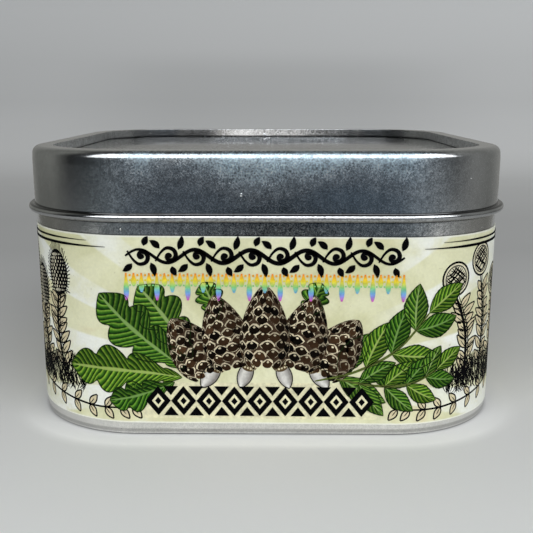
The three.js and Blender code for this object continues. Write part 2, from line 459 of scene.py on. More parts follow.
PAPER = paper("label_paper")
INK_PLAIN = plain_ink("printed_ink")
INK_LEAF = leaf_ink("printed_leaf_ink")


# ---- Pieces that stand for the CAD nodes ----

def make_can():
    half = CAN_HIGH.x
    neck = half - NECK_STEP
    shoulder = NECK_STEP / 2
    foot = (half - BOTTOM_EDGE_RADIUS, BOTTOM_EDGE_RADIUS)
    ring_inside = foot[0] - BASE_RING_WIDTH
    roll_centre = (neck - SHEET + ROLL_RADIUS, CAN_HIGH.z - ROLL_RADIUS)
    outside = [(0, PANEL_LIFT), (ring_inside - PANEL_SLOPE, PANEL_LIFT), (ring_inside, 0)]
    outside += arc(foot, BOTTOM_EDGE_RADIUS, -90, 0, 12)
    outside += arc((half - shoulder, SHOULDER_TOP - shoulder), shoulder, 0, 90, 8)
    outside += arc((half - shoulder, SHOULDER_TOP + shoulder), shoulder, 270, 180, 8)[1:]
    outside.append((neck, roll_centre[1]))
    inside = offset_path(outside, SHEET)[::-1]
    roll_from = -math.degrees(math.acos((neck - roll_centre[0]) / ROLL_RADIUS))
    roll = arc(roll_centre, ROLL_RADIUS, roll_from, 180, 20)
    piece = swept("can", outside[:-1] + roll + inside[1:], CAN_METAL)
    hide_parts("tin_body")


def make_lid():
    top = LID_HIGH.z
    bead_centre = (SKIRT_INSIDE + BEAD_RADIUS, LID_LOW.z + BEAD_RADIUS)
    crease_x = LID_HALF + CREASE_RADIUS
    crease_up = math.sqrt((BEAD_RADIUS + CREASE_RADIUS) ** 2 - (crease_x - bead_centre[0]) ** 2)
    crease_angle = math.degrees(math.atan2(crease_up, crease_x - bead_centre[0]))
    bead = arc(bead_centre, BEAD_RADIUS, 180, 360 + crease_angle, 28)
    bead += arc((crease_x, bead_centre[1] + crease_up), CREASE_RADIUS, 180 + crease_angle, 180, 8)[1:]
    lean = math.radians(EASE_ANGLE)
    turn = (LID_HALF - EASE_RADIUS + (EASE_RADIUS - TOP_EDGE_RADIUS) * cos(lean), top - TOP_EDGE_RADIUS)
    ease = (LID_HALF - EASE_RADIUS, turn[1] - (EASE_RADIUS - TOP_EDGE_RADIUS) * sin(lean))
    outside = [bead[-1]]
    outside += arc(ease, EASE_RADIUS, 0, EASE_ANGLE, 8) + arc(turn, TOP_EDGE_RADIUS, EASE_ANGLE, 90, 16)[1:]
    flare, flare_tall = OPENING_FLARE
    foot = [(OPENING_HALF - flare, top - flare_tall), (OPENING_HALF - flare, WELL_FOOT)]
    inside = offset_path(outside + [(OPENING_HALF, top)] + foot, SHEET)[::-1]
    edge = (OPENING_HALF + OPENING_EDGE_RADIUS, top - OPENING_EDGE_RADIUS)
    outside += arc(edge, OPENING_EDGE_RADIUS, 90, 180, 5)
    outside += foot
    piece = swept("lid", bead[:-1] + outside + inside[:-1], LID_METAL)
    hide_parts("lid_shell")


def make_pane():
    half = PANE_HIGH.x
    profile = [(0, PANE_LOW.z), (half, PANE_LOW.z), (half, PANE_HIGH.z), (0, PANE_HIGH.z)]
    piece = swept("window_film", profile, FILM)
    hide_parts("window_pane")


def make_ring():
    leg = RING_HIGH.x
    bend = 2 * SHEET
    outside = [(OPENING_HALF - RING_LIP, RING_LOW.z)]
    outside += arc((leg - bend, RING_LOW.z + bend), bend, -90, 0, 8)
    outside.append((leg, RING_HIGH.z))
    piece = swept("pane_ring", outside + offset_path(outside, SHEET)[::-1], RING_METAL)
    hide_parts("window_ring")


def make_label():
    inner_half = CAN_HIGH.x + LABEL_GAP
    rise = LABEL_THICKNESS + LABEL_GAP
    first_corner = CORNER_STEPS + WALL_STEPS

    def strip(half):
        round_path = outline(half)
        turned = round_path[first_corner:] + round_path[:CORNER_STEPS + 1]
        lap = [(LAP_HALF + LAP_RAMP, half), (LAP_HALF, half + rise), (-LAP_HALF, half + rise)]
        return [(LAP_HALF, half)] + turned + lap

    inner, outer = strip(inner_half), strip(inner_half + LABEL_THICKNESS)
    vertices = []
    for (x, y), (u, v) in zip(inner, outer):
        low, high = (z - u * LABEL_TILT for z in (LABEL_LOW.z + LABEL_TRIM[0], LABEL_HIGH.z - LABEL_TRIM[1]))
        vertices += [(x, y, low), (u, v, low), (u, v, high), (x, y, high)]
    faces = [(0, 1, 2, 3)]
    for i in range(len(inner) - 1):
        for side in range(4):
            a, b = 4 * i + side, 4 * i + (side + 1) % 4
            faces.append((a, a + 4, b + 4, b))
    last = 4 * (len(inner) - 1)
    faces.append((last + 3, last + 2, last + 1, last))
    piece = add_mesh("label_strip", vertices, faces, PAPER)
    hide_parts("label")
    runs = [0]
    for a, b in zip(outer, outer[1:]):
        runs.append(runs[-1] + math.dist(a, b))
    layer = piece.data.uv_layers.new(name="print")
    for loop in piece.data.loops:
        station, corner = divmod(loop.vertex_index, 4)
        s = (runs[station] - runs[-1] / 2) / MM
        layer.data[loop.index].uv = (s, LABEL_TALL if corner > 1 else 0)


make_can()
make_lid()
make_pane()
make_ring()
make_label()


# ---- The printed design, in mm: s runs along the label from the front's middle, t up from its foot ----

PAPER_HALF = CAN_HIGH.x + LABEL_GAP + LABEL_THICKNESS
PAPER_TURN = PAPER_HALF - CORNER_CENTRE
WALL_AND_CORNER = WALL + PAPER_TURN * pi / 2
INK_LIFT, INK_LEVEL, INK_DEPTH = 0.006 * MM, 0.004 * MM, 0.09 * MM
LAYERS = (0, 1, 4, 13, 27)      # panel, engravings, leaves, cones and outlines, in levels
LEAF_STEP = 0.25               # each leaf lies this many levels over the one before
FILL_STEP = 0.9                # rings in a filled shape, so that it follows the corners

vary = random.Random(SEED).uniform      # a value drawn between two

BLACK = (0.0015, 0.0015, 0.002)
CREAM = (0.66, 0.58, 0.38)
BARK = (0.05, 0.03, 0.018)


def on_label(s, t, lift):
    """The place on the label's outer face of a printed point, in metres."""
    side = 1 if s >= 0 else -1
    run = abs(s) * MM + CORNER_CENTRE
    wall = int(run // WALL_AND_CORNER)
    run -= wall * WALL_AND_CORNER
    if run <= WALL:
        x, y = run - CORNER_CENTRE, -PAPER_HALF - lift
    else:
        turn = (run - WALL) / PAPER_TURN
        x = CORNER_CENTRE + (PAPER_TURN + lift) * sin(turn)
        y = -CORNER_CENTRE - (PAPER_TURN + lift) * cos(turn)
    for _ in range(wall):
        x, y = -y, x
    return side * x, y, LABEL_LOW.z + t * MM - side * x * LABEL_TILT


def smooth(points, steps):
    """A Catmull-Rom curve through the points."""
    ends = [points[0]] + list(points) + [points[-1]]
    path = []
    for a, b, c, d in zip(ends, ends[1:], ends[2:], ends[3:]):
        for i in range(steps):
            u = i / steps
            path.append(tuple(0.5 * (2 * q + (r - p) * u + (2 * p - 5 * q + 4 * r - s) * u ** 2
                                     + (3 * q - p - 3 * r + s) * u ** 3) for p, q, r, s in zip(a, b, c, d)))
    return path + [points[-1]]


def heading_of(path, i):
    """The direction of a path just before a point of it, in degrees."""
    return math.degrees(math.atan2(path[i][1] - path[i - 1][1], path[i][0] - path[i - 1][0]))


class Ink:
    """Shapes printed in one layer. A higher level lies over a lower one."""

    def __init__(self, layer):
        self.points, self.faces, self.uvs, self.tones, self.layer, self.level = [], [], [], [], layer, 0

    def add(self, place, uv, tone):
        self.points.append((*place, self.layer + self.level))
        self.uvs.append(uv)
        self.tones.append(tone)

    def grid(self, rows, tone=BLACK, long=1):
        """Quads between rows of (s, t). The tone is a colour, or a function of (u, v) along and across."""
        start, wide = len(self.points), len(rows[0])
        for i, row in enumerate(rows):
            for k, place in enumerate(row):
                u, v = i / (len(rows) - 1), k / (wide - 1)
                self.add(place, (u * long, v), tone(u, v) if callable(tone) else tone)
        for i in range(len(rows) - 1):
            for k in range(wide - 1):
                a = start + i * wide + k
                self.faces.append((a, a + 1, a + wide + 1, a + wide))

    def stroke(self, path, width, tone=BLACK):
        """A line along a path. The width is a number, or a function of 0 to 1 along it."""
        rows = []
        for i, (s, t) in enumerate(path):
            before, after = path[max(i - 1, 0)], path[min(i + 1, len(path) - 1)]
            run, rise = after[0] - before[0], after[1] - before[1]
            wide = width(i / (len(path) - 1)) if callable(width) else width
            half = wide / 2 / (math.hypot(run, rise) or 1)
            rows.append([(s + rise * half, t - run * half), (s - rise * half, t + run * half)])
        self.grid(rows, tone)

    def edges(self, rows, width, tone=BLACK):
        """Lines along both edges of a grid's rows."""
        for edge in (0, -1):
            self.stroke([row[edge] for row in rows], width, tone)

    def patch(self, outline, tone=BLACK):
        """A filled shape, all of whose outline can be seen from its middle."""
        count = len(outline)
        middle = tuple(sum(p[i] for p in outline) / count for i in (0, 1))
        rings = math.ceil(max(math.dist(middle, p) for p in outline) / FILL_STEP)
        start = len(self.points)
        for place in [middle] + [blend(middle, p, (i + 1) / rings) for i in range(rings) for p in outline]:
            self.add(place, (0.5, 0.5), tone)
        for i in range(count):
            n = (i + 1) % count
            self.faces.append((start, start + 1 + i, start + 1 + n))
            for k in range(rings - 1):
                inner, outer = start + 1 + k * count, start + 1 + (k + 1) * count
                self.faces.append((inner + i, outer + i, outer + n, inner + n))

    def build(self, name, material=INK_PLAIN):
        """The shapes as thin closed flakes, their backs sunk in the paper."""
        count, faces, edges = len(self.points), [], {}
        for face in self.faces:
            spots = [self.points[i] for i in face]
            area = sum(a[0] * b[1] - b[0] * a[1] for a, b in zip(spots, spots[1:] + spots[:1]))
            face = list(face) if area > 0 else list(face)[::-1]
            faces += [face, [i + count for i in face[::-1]]]
            for edge in zip(face, face[1:] + face[:1]):
                if not edges.pop(edge[::-1], False):
                    edges[edge] = True
        faces += [(b, a, a + count, b + count) for a, b in edges]
        places = [on_label(s, t, INK_LIFT + level * INK_LEVEL - sunk)
                  for sunk in (0, INK_DEPTH) for s, t, level in self.points]
        mesh = add_mesh(name, places, faces, material).data
        layer = mesh.uv_layers.new(name="print")
        for loop in mesh.loops:
            layer.data[loop.index].uv = self.uvs[loop.vertex_index % count]
        tones = mesh.color_attributes.new("tone", "FLOAT_COLOR", "POINT")
        for i, spot in enumerate(tones.data):
            spot.color = (*self.tones[i % count], 1)


def line(start, end, steps=2):
    return [blend(start, end, i / steps) for i in range(steps + 1)]


def taper(width, least=0.15):
    """A stroke width that swells in the middle."""
    return lambda u: width * (least + (1 - least) * sin(pi * u) ** 0.6)


def ring(centre, radius, steps, squash=1, turn=0):
    return [spin((radius * cos(a), radius * squash * sin(a)), centre, turn)
            for a in (2 * pi * i / steps for i in range(steps))]


def curl(centre, radius, start, turns):
    """A spiral that winds in to its centre. Turns may be negative."""
    parts = [i / 30 for i in range(31)]
    return [spin((radius * (1 - 0.9 * u ** 0.8), 0), centre, start + 360 * turns * u) for u in parts]


# ---- Leaves: shapes from base (0) to tip (1) ----

def long_shape(u):
    return max(sin(pi * u ** 0.8), 0) ** 0.85 * (1 + 0.08 * (1 - (9 * u) % 1)) + 0.01


def oak_shape(u):
    lobes = abs(sin(pi * (3.5 * u + 0.5))) ** 0.55
    return max(sin(pi * u ** 1.25), 0) ** 0.6 * (0.42 + 0.58 * lobes) + 0.015


def small_shape(u):
    return sin(pi * u ** 0.7) ** 0.8 + 0.02


def leaf_rows(base, heading, length, width, bend, shape, steps, across):
    """Rows of points across a leaf whose midrib bends by some degrees from base to tip."""
    rows = []
    for i in range(steps + 1):
        u = i / steps
        turn = heading + bend * u
        half, sweep = width / 2 * shape(u), 0.12 * length * shape(u) * (1 - u)
        parts = [2 * k / across - 1 for k in range(across + 1)]
        rows.append([spin((sweep * abs(v) ** 1.5, half * v), base, turn) for v in parts])
        base = spin((length / steps, 0), base, turn)
    return rows


def leaf(ink, lines, base, heading, length, width, bend, shape, tone):
    """A broad leaf with a thin outline."""
    steps = 44 if shape is oak_shape else 20
    rows = leaf_rows(base, heading, length, width, bend, shape, steps, 8)
    ink.grid(rows, tone, length)
    ink.level += LEAF_STEP
    lines.edges(rows, taper(0.18, 0.5), (0.008, 0.02, 0.004))


def small_rows(base, heading, length, width, bend=0):
    return leaf_rows(base, heading, length, width, bend, small_shape, 8, 2)


def drop_outline(ink, base, heading, length, width):
    """A small engraved leaf: a pale blade, a dark outline and a midrib."""
    rows = small_rows(base, heading, length, width)
    ink.level = 0
    ink.grid(rows, CREAM)
    ink.level = 1
    ink.edges(rows, 0.3)
    ink.stroke([row[1] for row in rows[:6]], taper(0.2))


def engraved_sprig(ink, path, size):
    """A line with pairs of small outlined leaves."""
    ink.level = 1
    ink.stroke(path, taper(0.42, 0.5))
    for i in range(2, len(path) - 1, 3):
        for side in (-1, 1):
            drop_outline(ink, path[i], heading_of(path, i + 1) + side * 55, size, size * 0.5)


def leafy_stalk(ink, points, strokes, every, longest):
    """A curved stalk with pairs of small outlined leaves. Strokes: shift, width and least part of it."""
    stalk = smooth(points, 12)
    ink.level = 1
    for shift, width, least in strokes:
        ink.stroke([(s + shift, t) for s, t in stalk], taper(width, least))
    for i in range(5, len(stalk) - 4, every):
        for way in (-1, 1):
            drop_outline(ink, stalk[i], 90 + way * vary(36, 62), vary(2.8, longest), 1.6)


# ---- Cones, acorns, seed heads and grass ----

def pine_cone(ink, middle, lean, tall, wide, level):
    """A cone of pale-lipped dark scales, in staggered rows that narrow to the tip and round the sides."""
    def at(a, h):
        half = wide / 2 * max(sin(pi * (0.1 + 0.9 * h) ** 0.72), 0) ** 0.62
        return spin((half * sin(math.radians(a)), tall * (h - 0.5)), middle, lean)

    ink.level = level
    ink.patch([at(90, i / 16) for i in range(17)] + [at(-90, 1 - i / 16) for i in range(1, 16)], BARK)
    rows = round(tall / 1.75)
    step = 32
    for row in range(rows):
        h = (row + 0.35) / rows
        for a in range(-90 + (row % 2) * step // 2, 91, step):
            light = 0.35 + 0.65 * cos(math.radians(a + 25)) ** 2
            rim = blend(BARK, (0.8, 0.7, 0.48), light * vary(0.65, 1))
            core = blend((0.002, 0.0015, 0.001), (0.07, 0.035, 0.016), light * vary(0, 1) ** 2)
            shift_a, shift_h = vary(-7, 7), vary(-0.022, 0.022)
            turned = vary(-0.3, 0.3)
            for rise, size, drop, tone in ((1, 1, 0, rim), (2, 0.86, 0.14, core), (3, 0.2, -0.3, rim)):
                ink.level = level + rise
                cell = []
                for i in range(12):
                    turn = 2 * pi * i / 12 + turned
                    x, y = cos(turn), sin(turn)
                    reach = size * vary(0.9, 1.06) / (abs(x) ** 1.3 + abs(y) ** 1.3) ** (1 / 1.3)
                    cell.append(at(max(-98, min(98, a + shift_a + x * reach * step * 0.6)),
                                   min(1.02, max(-0.02, h + shift_h + (y * reach - drop) * 0.66 / rows))))
                ink.patch(cell, tone)


def acorn(ink, lines, base, heading, size):
    """A pale nut in its scaly cup."""
    def nut(u, v):
        light = max(0, 1 - abs(v - 0.4) * 2) * (0.7 + 0.3 * u)
        return blend((0.22, 0.2, 0.18), (0.86, 0.84, 0.78), light)

    def at(x, y):
        return spin((x * size, y * size), base, heading)

    rows = []
    for i in range(13):
        u = i / 12
        half = 0.3 * max(sin(pi * (0.22 + 0.78 * u) ** 1.1), 0) ** 0.7
        rows.append([at(u, half * (k / 3 - 1)) for k in range(7)])
    ink.level = 0
    ink.grid(rows, nut)
    lines.edges(rows, 0.18)
    ink.level = 1
    front = [pi * (i / 14 - 0.5) for i in range(14)]
    back = [pi * (0.5 - i / 8) for i in range(8)]
    cup = [at(0.42 * cos(a) ** 0.8 - 0.18, 0.36 * sin(a)) for a in front]
    cup += [at(-0.13 * cos(a) - 0.18, 0.36 * sin(a)) for a in back]
    ink.patch(cup, (0.1, 0.065, 0.03))
    ink.level = 2
    for i in range(3):
        for k in range(-2, 3):
            ink.patch(ring(at(0.13 * i - 0.16, 0.12 * (k + 0.5 * (i % 2))), 0.045 * size, 6), CREAM)


def hatched_ball(ink, middle, radius):
    """A round seed head drawn with rings and crossing lines."""
    ink.level = 0
    ink.patch(ring(middle, radius, 26), (0.7, 0.66, 0.48))
    ink.level = 1
    for r, w in ((radius, 0.42), (radius * 0.8, 0.22)):
        loop = ring(middle, r, 26)
        ink.stroke(loop + loop[:1], w)
    for k in range(-4, 5):
        for tilt in (40, -35):
            reach = math.sqrt(max(0.05, 1 - (k / 5) ** 2)) * radius * 0.76
            bow = vary(-0.2, 0.2) * radius
            rise = k / 5 * radius * 0.78
            ends = [(-reach, rise), (0, rise + bow), (reach, rise)]
            ink.stroke(smooth([spin(p, middle, tilt) for p in ends], 4), taper(vary(0.2, 0.5)))


def teasel(ink, middle, lean, tall, wide):
    """A dark oval seed head with pale points in rows and a fringe of spines."""
    ink.level = 0
    ink.patch(ring(middle, tall / 2, 30, wide / tall, 90 + lean), BLACK)
    for i in range(46):
        turn = 2 * pi * i / 46
        x, y = wide * cos(turn), tall * sin(turn)
        foot = spin((x * 0.48, y * 0.48), middle, lean)
        tip = spin((x * 0.62, y * vary(0.56, 0.64) + 0.5), middle, lean)
        ink.stroke(line(foot, tip), 0.2)
    ink.level = 2
    for row in range(-5, 6):
        reach = math.sqrt(1 - (row / 6) ** 2)
        for k in range(-3, 4):
            a = (k + 0.5 * (row % 2)) * 24
            if abs(a) < 84:
                across = wide * 0.46 * reach * sin(math.radians(a))
                spot = spin((across, tall * 0.46 * row / 6), middle, lean)
                size = 0.26 * cos(math.radians(a)) + 0.06
                ink.patch(ring(spot, size * (1.25 if a < 0 else 0.8), 7, 0.6, 90), (0.66, 0.62, 0.47))
    ink.level = 1
    start = spin((0, -tall * 0.5), middle, lean)
    for way in (-1, 1):
        for heading in (20, 48, 75):
            tip = spin((vary(3, 4.2), 0), start, 90 + way * heading)
            bow = spin((2, -way * 0.7), start, 90 + way * heading)
            ink.stroke(smooth([start, bow, tip], 6), taper(0.3))


def tuft(ink, side, near, far, tall, count):
    """A clump of short engraved strokes, like grass over stones."""
    start, end = sorted((side * near, side * far))
    ink.level = 1
    for _ in range(count):
        s, t = vary(start, end), TUFT_FOOT + vary(0, tall * 0.55)
        lean, reach = vary(50, 130), vary(0.3, 0.7) * tall * 0.6
        tip = spin((reach, 0), (s, t), lean)
        bow = spin((reach * 0.55, vary(-0.2, 0.2) * reach), (s, t), lean)
        ink.stroke(smooth([(s, t), bow, tip], 3), taper(vary(0.12, 0.3)))


# ---- The parts of the design, in mm ----

VINE_T, VINE_HALF, HALF_WAVE = 34.7, 27, 5.4
PENDANT_TOP, PENDANT_STEP = 31.3, 1.5
PENDANT_TALLS = 5.4, 2.6, 3.8, 2.6
RAINBOW = ((0.85, 0.24, 0.03), (0.85, 0.66, 0.04), (0.24, 0.62, 0.22), (0.16, 0.36, 0.8),
           (0.66, 0.1, 0.46))
GREENS = ((1, 1, 1), (0.8, 0.9, 0.8), (1.25, 1.15, 0.9), (0.62, 0.78, 0.62))
CONES = (       # distance from the middle, t, lean, height and width, the lowest cones first
    (14.8, 16.6, 34, 13.4, 9.8), (8, 19.6, 15, 15.2, 9.8), (0, 20.8, 0, 16.6, 10))
ACORNS = (      # s, t, heading and size
    (-9.6, 12.4, 236, 5.4), (-3.2, 12.6, 250, 5), (3.2, 12.6, 290, 5), (9.6, 12.4, 304, 5.4))
OAK_LEAVES = (      # base, heading, length, width and bend
    ((-14.5, 14), 118, 18, 9.4, 14), ((-16, 12), 146, 22.5, 10.2, -16),
    ((-16.5, 10), 170, 24, 9.8, 14), ((-18, 9), 206, 14, 6.6, -18),
    ((-9.5, 22), 100, 8, 5.6, 20), ((8.5, 22), 80, 8, 5.6, -20))
TUFT_FOOT = 5.5     # where the grass starts
# Seed heads by place: on the left, on the right, and further round on both sides.
TEASELS = ((43.5, 30), (51, 26), (57.5, 31))
BALLS = ((38.6, 29.8), (46.5, 33), (54.5, 27.5))
FAR_BALLS = ((84, 27), (96, 31.5), (108, 26), (128, 28), (140, 32))
BORDERS = ((37.4, 0.34, 35), (36.3, 0.5, 31))       # height, width and where it starts
BORDER_END = 165
FRIEZE_T, FRIEZE_STEP = 5.1, 5.1
DIAMOND_HALF, DIAMOND_RISE = 2.5, 3.1


def draw_vine(lines):
    """A running vine across the top, black."""
    runs = [0.3 * i for i in range(181)]
    stem = [(-VINE_HALF + run, VINE_T + 1.3 * sin(pi * run / HALF_WAVE)) for run in runs]
    lines.stroke(stem, taper(0.85, 0.4))
    for k in range(10):
        s, up = -VINE_HALF + HALF_WAVE * (k + 0.5), 1 if k % 2 else -1
        centre = (s + 0.5, VINE_T + up * 0.1)
        start = (s - HALF_WAVE * 0.42, VINE_T - up)
        spiral = smooth([start] + curl(centre, 1.95, 180, up * -1.45)[1::3], 5)
        lines.stroke(spiral, lambda u: 0.25 + 0.62 * sin(pi * min(1, 0.9 * u + 0.1)) ** 2)
        lines.level = 1
        lines.patch(ring(centre, 0.5, 10))
        lines.level = 0
        for x, rise, heading, long in ((2.2, 1.3, 62, 2.9), (-1.4, 1.5, 128, 2.5), (0.9, -2, -78, 2.1)):
            lines.grid(small_rows((s + x, VINE_T + up * rise), up * heading, long, 1.25, 30 * up))


def rainbow(u):
    place = min(max(u, 0), 1) * (len(RAINBOW) - 1)
    i = min(int(place), len(RAINBOW) - 2)
    return blend(RAINBOW[i], RAINBOW[i + 1], place - i)


def draw_pendants(lines):
    """Many-coloured drops under the vine, with dots between them."""
    for k in range(37):
        s = -VINE_HALF + PENDANT_STEP * k
        tall = PENDANT_TALLS[k % 4]
        drop = []
        for i in range(11):
            u = i / 10
            half = 0.16 + 0.36 * sin(pi * u ** 1.6)
            drop.append([(s + w * half, PENDANT_TOP - tall * u) for w in (-1, 0, 1)])
        lines.grid(drop, lambda u, v, tall=tall: rainbow(u * tall / PENDANT_TALLS[0]))
        if k < 36:
            for i in (0, 1, 2):
                dot = ring((s + PENDANT_STEP / 2, PENDANT_TOP - 0.4 - i), 0.24 - 0.03 * i, 7)
                lines.patch(dot, rainbow(0.1 + 0.2 * i))


def draw_cones(cones, lines):
    """A fan of cones in the middle, with acorns under it."""
    for i, (reach, rise, lean, tall, wide) in enumerate(CONES):
        for side in (-1, 1) if reach else (1,):
            pine_cone(cones, (side * reach, rise), -side * lean, tall, wide, 4 * i)
    for s, t, heading, size in ACORNS:
        acorn(cones, lines, (s, t), heading, size)


def draw_leaves(leaves, lines):
    """Broad lobed leaves, most of them on the left, and a feathered sprig on the right."""
    for i, place in enumerate(OAK_LEAVES):
        leaf(leaves, lines, *place, oak_shape, GREENS[i % 4])
    stem = smooth([(10, 9.5), (18, 11.5), (26, 16), (32.5, 23.5)], 8)
    second = smooth([(14, 10), (22, 8.6), (29, 9), (34.5, 11.5)], 8)
    for path, long, wide in ((stem, 11, 4.6), (second, 8.5, 3.6)):
        lines.stroke(path, taper(0.5, 0.4), (0.1, 0.13, 0.03))
        for n, i in enumerate(range(5, len(path) - 2, 5)):
            for side in (-1, 1):
                heading = heading_of(path, i) + side * (50 - 2 * n)
                tone = GREENS[(n + (side > 0)) % 4]
                leaf(leaves, lines, path[i], heading, long - 0.5 * n, wide, -side * 16, long_shape, tone)
        leaf(leaves, lines, path[-1], 40, long * 0.85, wide, -12, long_shape, GREENS[2])


def draw_side(etched, beyond, lines, side):
    """Engraved seed heads, grass, sprigs and borders on one side, round to the back."""
    for (head, top), foot in zip(BALLS if side > 0 else TEASELS, (42, 47, 52)):
        places = ((foot, 6.5), ((foot + head) / 2 + 1.6, top / 2 + 3), (head, top - 3.4))
        strokes = ((0, 0.75, 0.5), (0.75, 0.3, 0.3))
        leafy_stalk(etched, [(side * s, t) for s, t in places], strokes, 2, 4.6)
        if side > 0:
            hatched_ball(etched, (side * head, top), 3.4)
        else:
            teasel(etched, (side * head, top), 6, 9.5, 6.2)
    tuft(etched, side, 37, 60, 9.5, 460)
    for ink, first, last in ((etched, 26, 62), (beyond, 70, 112), (beyond, 120, 160)):
        middle = (first + last) / 2
        places = ((last, 9.5), (middle + 6, 5.6), (middle - 8, 3.4), (first, 3.6))
        engraved_sprig(ink, smooth([(side * s, t) for s, t in places], 10), 2.9)
    for head, top in FAR_BALLS:
        s = side * head
        places = ((s - 2, 7.5), (s + 1.6, top / 2 + 3), (s, top - 3.4))
        leafy_stalk(beyond, places, ((0, 0.7, 0.5),), 3, 4.4)
        hatched_ball(beyond, (s, top), 3.2)
    tuft(beyond, side, 78, 146, 6.5, 420)
    lines.level = 1
    for t, w, start in BORDERS:
        path = line((side * start, t), (side * BORDER_END, t), 150)
        lines.stroke(path, lambda u, w=w: w * min(1, 0.1 + 12 * u))


def draw_frieze(panel, lines):
    """A bold row of diamonds along the bottom, on its own pale panel."""
    pale = (0.76, 0.72, 0.48)
    panel.grid([line((-24.5, t), (22.5, t), 4) for t in (1.4, 9)], pale)
    for k in range(-4, 5):
        s = FRIEZE_STEP * k - 1
        for level, size, tone in ((1, 1, BLACK), (2, 0.5, pale), (3, 0.26, BLACK)):
            lines.level = level
            lines.patch([(s + x * DIAMOND_HALF * size, FRIEZE_T + y * DIAMOND_RISE * size)
                         for x, y in ((-1, 0), (0, 1), (1, 0), (0, -1))], tone)
        lines.level = 1
        if k < 4:
            for way in (-1, 1):
                flat, point = FRIEZE_T + way * DIAMOND_RISE, FRIEZE_T + way * 1.2
                lines.patch([(s + 1.1, flat), (s + 4, flat), (s + 2.55, point)])


def make_print():
    panel, etched, leaves, cones, lines = (Ink(layer) for layer in LAYERS)
    beyond = Ink(LAYERS[1])       # the engravings past the front corners
    draw_vine(lines)
    draw_pendants(lines)
    draw_cones(cones, lines)
    draw_leaves(leaves, lines)
    for side in (-1, 1):
        draw_side(etched, beyond, lines, side)
    draw_frieze(panel, lines)
    panel.build("print_panel")
    etched.build("print_engravings")
    beyond.build("print_side_engravings")
    leaves.build("print_leaves", INK_LEAF)
    cones.build("print_cones")
    lines.build("print_lines")


make_print()


# ---- Stage ----

FLOOR_FRONT, BACKDROP_START, BACKDROP_RADIUS, BACKDROP_TOP = -0.205, 0.45, 0.3, 1.6
NEAR_HALF, NEAR_BACK, FAR_HALF = 0.22, 0.4, 2.5
FAR_DROP = 0.5 * MM            # how far the far card lies under the near one
FLOOR_TINT = (1, 1, 0.985)
# Painted light: the tone falls from bright in front to darker further back, as the light falls off, and
# varies up the backdrop.
FLOOR_PAINTED_LIGHT_TONES = (                # place from front to back, and tone
    (-0.09, 0.92), (-0.057, 0.81), (-0.03, 0.73), (0.005, 0.65), (0.058, 0.555), (0.147, 0.44),
    (0.238, 0.43), (0.319, 0.465), (0.508, 0.52), (0.548, 0.52), (0.6, 0.475), (0.632, 0.433),
    (0.676, 0.43), (0.714, 0.455), (0.75, 0.455))
# Round the tin's foot the floor is dark in its shadow, then paler where the tin lights it.
GLOW_REACH = 22.9 * MM, 32 * MM
GLOW = ((0, 0.25), (0.075, 0.28), (0.11, 0.8), (0.2, 1.08), (0.4, 1.14), (0.65, 1.22), (0.85, 1.06), (1, 1))
FRONT_ONLY = -0.055, -0.032    # the paler ring fades between these places, towards the back
# The dip is painted shade on the plain backdrop.
DIP_PLACE, DIP_DEPTH = 0.63, 0.12      # straight behind the tin the backdrop is a little darker


def grey_of(tone, tint=(1, 1, 1)):
    return [tone * part for part in tint] + [1]


def make_floor():
    """A pale card that runs up into a backdrop, with its light and shade painted into its colour.
    Far from the tin, only the camera sees it.
    """
    n = Nodes("floor_card")
    across, place, _ = n.split()
    first, last = FLOOR_PAINTED_LIGHT_TONES[0][0], FLOOR_PAINTED_LIGHT_TONES[-1][0]
    stops = [((y - first) / (last - first), grey_of(tone, FLOOR_TINT)) for y, tone in FLOOR_PAINTED_LIGHT_TONES]
    tone = n.ramp(n.map(place, first, last, 0, 1), stops)
    # The ring of shadow and glow is kept at half its value, as a ramp holds nothing over 1.
    near = n.ramp(n.map(n.reach(), *GLOW_REACH, 0, 1), [(u, grey_of(glow / 2)) for u, glow in GLOW])
    shadow = n.grey(n.math("MINIMUM", near, 0.5))
    near = n.mix(n.ease(place, *FRONT_ONLY, 1, 0.1), shadow, near)
    # Painted light: the card is a little brighter towards +X than towards -X.
    side = n.map(across, -0.3, 0.3, 0.92, 1.1)
    tone = n.tinted(tone, n.shaded(near, n.times(side, 2)))
    # Painted shade straight behind the tin.
    dip = n.ease(n.math("ABSOLUTE", across), 0.08, 0.24, DIP_DEPTH, 0)
    dip = n.times(dip, n.ease(n.apart(place, DIP_PLACE), 0.03, 0.06, 1, 0))
    tone = n.shaded(tone, n.math("SUBTRACT", 1, dip))
    material = n.finish(Base_Color=tone, Roughness=0.6, Normal=n.bump(n.noise(900, 2), 0.00002))

    def card(name, half, path):
        vertices = [(x, y, z) for y, z in path for x in (-half, half)]
        faces = [(2 * i, 2 * i + 1, 2 * i + 3, 2 * i + 2) for i in range(len(path) - 1)]
        piece = new_piece(name, vertices, faces, material)
        return piece

    sweep = arc((BACKDROP_START, BACKDROP_RADIUS), BACKDROP_RADIUS + FAR_DROP, -90, 0, 16)
    card("floor", NEAR_HALF, [(FLOOR_FRONT, 0), (NEAR_BACK, 0)])
    far = card("floor_beyond", FAR_HALF, [(-FAR_HALF, -FAR_DROP)] + sweep + [(sweep[-1][0], BACKDROP_TOP)])
    far.visible_glossy = far.visible_diffuse = False


make_floor()

